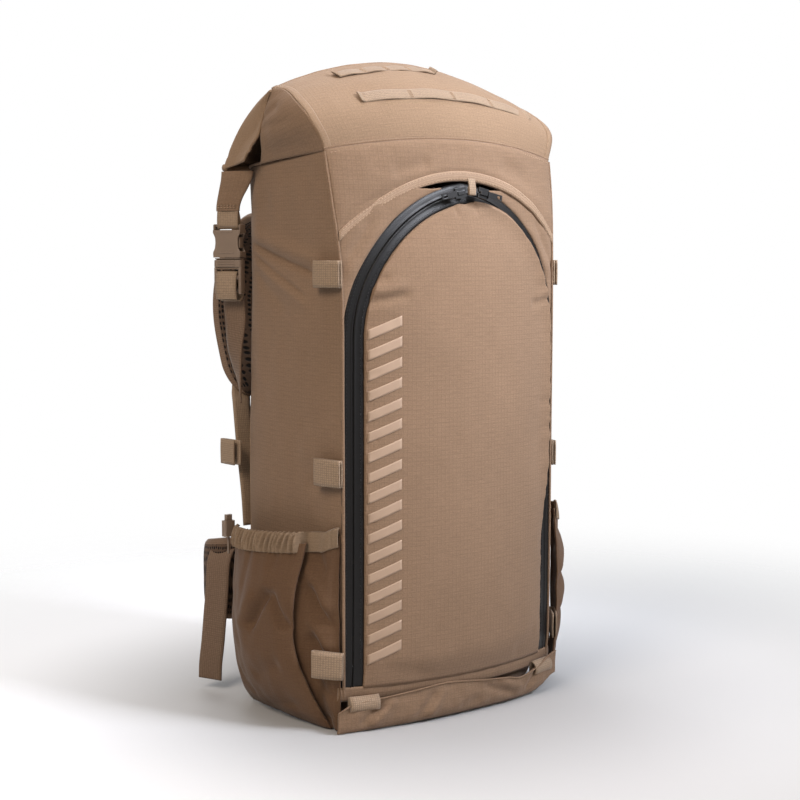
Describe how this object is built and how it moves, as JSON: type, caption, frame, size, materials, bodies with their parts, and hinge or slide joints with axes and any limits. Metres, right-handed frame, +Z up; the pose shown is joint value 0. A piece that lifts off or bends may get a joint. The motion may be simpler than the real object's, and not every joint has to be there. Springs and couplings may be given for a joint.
{
  "type": "hunting backpack",
  "caption": "Roll-top hunting backpack with an arched zip door on the front, stretch side pockets, lash webbing, side-release closures, padded shoulder straps and hip wings.",
  "frame": {"origin": "on the ground under the middle of the base, with the bag standing upright", "axes": "+Z up, -Y out of the front with the zip door, +Y out of the wearer's side, +X to the right seen from the front"},
  "size_m": [0.3556, 0.2938, 0.6333],
  "materials": {
    "pack_cloth": "coated 500D nylon, matt mid brown with a fine ripstop grid",
    "top_cloth": "coated nylon, a lighter yellow brown",
    "webbing_tan": "flat woven nylon webbing, light tan",
    "binding_tan": "folded grosgrain edge binding, light tan",
    "zip_tape": "laminated water-resistant zip tape, near black, slightly shiny",
    "zip_coil": "nylon coil, black",
    "zip_metal": "die-cast slider, black satin paint",
    "buckle_brown": "moulded acetal, brown, fine texture",
    "mesh_brown": "spacer mesh over foam, dark brown",
    "pad_cloth": "padded nylon over foam, brown",
    "lining": "thin coated nylon lining, light khaki",
    "frame_plastic": "polyethylene sheet, black",
    "stay_alloy": "flat bar, mill finish"
  },
  "bodies": {
    "pack": {"anchor_straps": "webbing_tan", "back_pads": "mesh_brown", "back_panel": "pack_cloth", "base_apron": "pack_cloth", "base_loops": "webbing_tan", "base_panel": "pack_cloth", "bladder_sleeve": "lining", "cord_locks": "buckle_brown", "door_sill": "pack_cloth", "frame_sheet": "frame_plastic", "frame_stays": "stay_alloy", "front_border": "pack_cloth", "front_hood": "pack_cloth", "hood_binding": "binding_tan", "lash_webbing": "webbing_tan", "lumbar_pad": "mesh_brown", "side_panel_left": "pack_cloth", "side_panel_right": "pack_cloth", "side_pocket_left": "pack_cloth", "side_pocket_right": "pack_cloth", "side_tabs": "webbing_tan", "top_gussets": "pack_cloth", "top_panel": "top_cloth", "zip_coil_frame": "zip_coil", "zip_tape_frame": "zip_tape"},
    "door": {"front_door": "pack_cloth", "zip_coil_door": "zip_coil", "zip_tape_door": "zip_tape", "arch_tab": "webbing_tan"},
    "slider_left": {"zip_slider_left": "zip_metal"},
    "slider_right": {"zip_slider_right": "zip_metal"},
    "pull_left": {"zip_pull_left": "zip_metal"},
    "pull_right": {"zip_pull_right": "zip_metal"},
    "flap": {"roll_flap": "top_cloth", "roll_stiffener": "frame_plastic", "roll_straps": "webbing_tan", "roll_buckle_sockets": "buckle_brown"},
    "plug_left": {"roll_buckle_plug_left": "buckle_brown"},
    "plug_right": {"roll_buckle_plug_right": "buckle_brown"},
    "prong_front_left": {"roll_prong_front_left": "buckle_brown"},
    "prong_back_left": {"roll_prong_back_left": "buckle_brown"},
    "prong_front_right": {"roll_prong_front_right": "buckle_brown"},
    "prong_back_right": {"roll_prong_back_right": "buckle_brown"},
    "shoulder_left": {"shoulder_strap_left": "pad_cloth", "strap_webbing_left": "webbing_tan"},
    "shoulder_right": {"shoulder_strap_right": "pad_cloth", "strap_webbing_right": "webbing_tan"},
    "sternum_left": {"sternum_strap_left": "webbing_tan", "sternum_plug": "buckle_brown"},
    "sternum_right": {"sternum_strap_right": "webbing_tan", "sternum_socket": "buckle_brown"},
    "hip_left": {"hip_wing_left": "pad_cloth", "hip_webbing_left": "webbing_tan", "hip_plug": "buckle_brown"},
    "hip_right": {"hip_wing_right": "pad_cloth", "hip_webbing_right": "webbing_tan", "hip_socket": "buckle_brown"},
    "haul": {"haul_loop": "webbing_tan"},
    "button_left": {"cord_button_left": "buckle_brown"},
    "button_right": {"cord_button_right": "buckle_brown"}
  },
  "joints": [
    {"name": "door_swing", "type": "hinge", "parent": "pack", "child": "door", "pos_m": [0, -0.114, 0.041], "axis": [1, 0, 0], "range_deg": [0, 85]},
    {"name": "slider_left_run", "type": "hinge", "parent": "door", "child": "slider_left", "pos_m": [0.01901, 0, 0.38283], "axis": [0.0467, 0.9853, 0.1645], "range_deg": [-60, 0]},
    {"name": "slider_right_run", "type": "hinge", "parent": "door", "child": "slider_right", "pos_m": [-0.01901, 0, 0.38283], "axis": [-0.0467, 0.9853, 0.1645], "range_deg": [0, 60]},
    {"name": "pull_left_flip", "type": "hinge", "parent": "slider_left", "child": "pull_left", "pos_m": [-0.0197, -0.1201, 0.5011], "axis": [-0.1908, 0, 0.9816], "range_deg": [0, 90]},
    {"name": "pull_right_flip", "type": "hinge", "parent": "slider_right", "child": "pull_right", "pos_m": [0.0197, -0.1201, 0.5011], "axis": [0.1908, 0, 0.9816], "range_deg": [-90, 0]},
    {"name": "flap_swing", "type": "hinge", "parent": "pack", "child": "flap", "pos_m": [0, -0.0015, 0.6335], "axis": [1, 0, 0], "range_deg": [0, 140]},
    {"name": "plug_left_slide", "type": "slide", "parent": "flap", "child": "plug_left", "axis": [0, 0, -1], "range_m": [0, 0.03]},
    {"name": "prong_front_left_squeeze", "type": "hinge", "parent": "plug_left", "child": "prong_front_left", "pos_m": [-0.14489, 0.08145, 0.4427], "axis": [-0.9397, -0.342, 0], "range_deg": [0, 8], "stiffness_Nm_per_rad": 0.3},
    {"name": "prong_back_left_squeeze", "type": "hinge", "parent": "plug_left", "child": "prong_back_left", "pos_m": [-0.15111, 0.09855, 0.4427], "axis": [-0.9397, -0.342, 0], "range_deg": [-8, 0], "stiffness_Nm_per_rad": 0.3},
    {"name": "plug_right_slide", "type": "slide", "parent": "flap", "child": "plug_right", "axis": [0, 0, -1], "range_m": [0, 0.03]},
    {"name": "prong_front_right_squeeze", "type": "hinge", "parent": "plug_right", "child": "prong_front_right", "pos_m": [0.14489, 0.08145, 0.4427], "axis": [-0.9397, 0.342, 0], "range_deg": [0, 8], "stiffness_Nm_per_rad": 0.3},
    {"name": "prong_back_right_squeeze", "type": "hinge", "parent": "plug_right", "child": "prong_back_right", "pos_m": [0.15111, 0.09855, 0.4427], "axis": [-0.9397, 0.342, 0], "range_deg": [-8, 0], "stiffness_Nm_per_rad": 0.3},
    {"name": "shoulder_left_swing", "type": "hinge", "parent": "pack", "child": "shoulder_left", "pos_m": [-0.08, 0.089, 0.484], "axis": [1, 0, 0], "range_deg": [0, 32]},
    {"name": "sternum_left_slide", "type": "slide", "parent": "shoulder_left", "child": "sternum_left", "axis": [0, 0, 1], "range_m": [-0.018, 0.018]},
    {"name": "hip_left_swing", "type": "hinge", "parent": "pack", "child": "hip_left", "pos_m": [-0.097, 0.103, 0.114], "axis": [0, 0, 1], "range_deg": [0, 30]},
    {"name": "cord_button_left_press", "type": "slide", "parent": "pack", "child": "button_left", "axis": [0, 0, -1], "range_m": [0, 0.003], "stiffness_N_per_m": 300},
    {"name": "shoulder_right_swing", "type": "hinge", "parent": "pack", "child": "shoulder_right", "pos_m": [0.08, 0.089, 0.484], "axis": [1, 0, 0], "range_deg": [0, 32]},
    {"name": "sternum_right_slide", "type": "slide", "parent": "shoulder_right", "child": "sternum_right", "axis": [0, 0, 1], "range_m": [-0.018, 0.018]},
    {"name": "hip_right_swing", "type": "hinge", "parent": "pack", "child": "hip_right", "pos_m": [0.097, 0.103, 0.114], "axis": [0, 0, 1], "range_deg": [-30, 0]},
    {"name": "cord_button_right_press", "type": "slide", "parent": "pack", "child": "button_right", "axis": [0, 0, -1], "range_m": [0, 0.003], "stiffness_N_per_m": 300},
    {"name": "haul_loop_fold", "type": "hinge", "parent": "pack", "child": "haul", "pos_m": [0, 0.0866, 0.496], "axis": [1, 0, 0], "range_deg": [-35, 0]}
  ],
  "couplings": [
    {"joint": "prong_back_left_squeeze", "follows": "prong_front_left_squeeze", "ratio": -1},
    {"joint": "prong_back_right_squeeze", "follows": "prong_front_right_squeeze", "ratio": -1}
  ]
}
